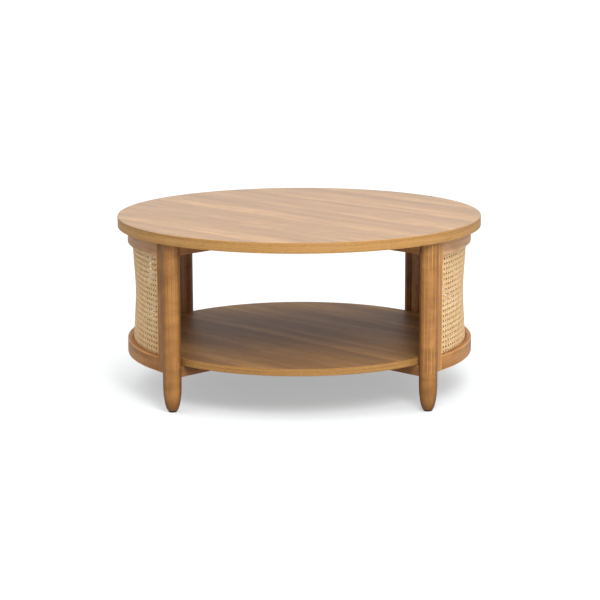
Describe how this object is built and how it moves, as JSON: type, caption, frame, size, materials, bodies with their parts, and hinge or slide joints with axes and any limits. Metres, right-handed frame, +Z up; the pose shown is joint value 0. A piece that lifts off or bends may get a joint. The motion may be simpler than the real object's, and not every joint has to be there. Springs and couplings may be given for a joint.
{
  "type": "coffee table",
  "caption": "Round two-tier coffee table: veneered top and shelf on turned legs, with curved woven cane panels in wooden frames at the sides.",
  "frame": {"origin": "on the floor, under the middle of the table", "axes": "+Z up; front is -Y; +X to the right, through the middle of the right cane panel"},
  "size_m": [0.9, 0.9, 0.433],
  "materials": {
    "top_veneer": "satin lacquered veneer, diagonal strip figure",
    "shelf_veneer": "satin lacquered veneer, diagonal strip figure",
    "edge_band": "satin veneer edge band",
    "frame_wood": "satin stained hardwood",
    "batten_wood": "matt stained hardwood",
    "dowel_wood": "bare beech",
    "cane": "natural woven cane webbing",
    "reed_spline": "natural reed",
    "foot_glide": "dark brown moulded plastic",
    "screw_steel": "zinc-plated steel"
  },
  "bodies": {
    "root": {"table_top": "top_veneer", "table_top_edge_band": "edge_band", "shelf": "shelf_veneer", "shelf_edge_band": "edge_band", "upper_batten_front_left": "batten_wood", "upper_batten_front_right": "batten_wood", "lower_batten_front_left": "batten_wood", "lower_batten_front_right": "batten_wood", "top_screw_centre": "screw_steel", "top_screw_front_left": "screw_steel", "top_screw_front_right": "screw_steel", "top_screw_rear_left": "screw_steel", "top_screw_rear_right": "screw_steel", "shelf_screw_centre": "screw_steel", "shelf_screw_front_left": "screw_steel", "shelf_screw_front_right": "screw_steel", "shelf_screw_rear_left": "screw_steel", "shelf_screw_rear_right": "screw_steel", "left_bottom_rail": "frame_wood", "left_top_rail": "frame_wood", "left_cane_panel": "cane", "left_bottom_spline": "reed_spline", "left_top_spline": "reed_spline", "left_front_spline": "reed_spline", "left_rear_spline": "reed_spline", "right_bottom_rail": "frame_wood", "right_top_rail": "frame_wood", "right_cane_panel": "cane", "right_bottom_spline": "reed_spline", "right_top_spline": "reed_spline", "right_front_spline": "reed_spline", "right_rear_spline": "reed_spline", "front_left_leg": "frame_wood", "front_left_foot_glide": "foot_glide", "front_left_stile": "frame_wood", "front_left_lower_leg_dowel": "dowel_wood", "front_left_lower_rail_dowel": "dowel_wood", "front_left_upper_leg_dowel": "dowel_wood", "front_left_upper_rail_dowel": "dowel_wood", "front_right_leg": "frame_wood", "front_right_foot_glide": "foot_glide", "front_right_stile": "frame_wood", "front_right_lower_leg_dowel": "dowel_wood", "front_right_lower_rail_dowel": "dowel_wood", "front_right_upper_leg_dowel": "dowel_wood", "front_right_upper_rail_dowel": "dowel_wood", "rear_left_leg": "frame_wood", "rear_left_foot_glide": "foot_glide", "rear_left_stile": "frame_wood", "rear_left_lower_leg_dowel": "dowel_wood", "rear_left_lower_rail_dowel": "dowel_wood", "rear_left_upper_leg_dowel": "dowel_wood", "rear_left_upper_rail_dowel": "dowel_wood", "rear_right_leg": "frame_wood", "rear_right_foot_glide": "foot_glide", "rear_right_stile": "frame_wood", "rear_right_lower_leg_dowel": "dowel_wood", "rear_right_lower_rail_dowel": "dowel_wood", "rear_right_upper_leg_dowel": "dowel_wood", "rear_right_upper_rail_dowel": "dowel_wood"}
  },
  "joints": []
}
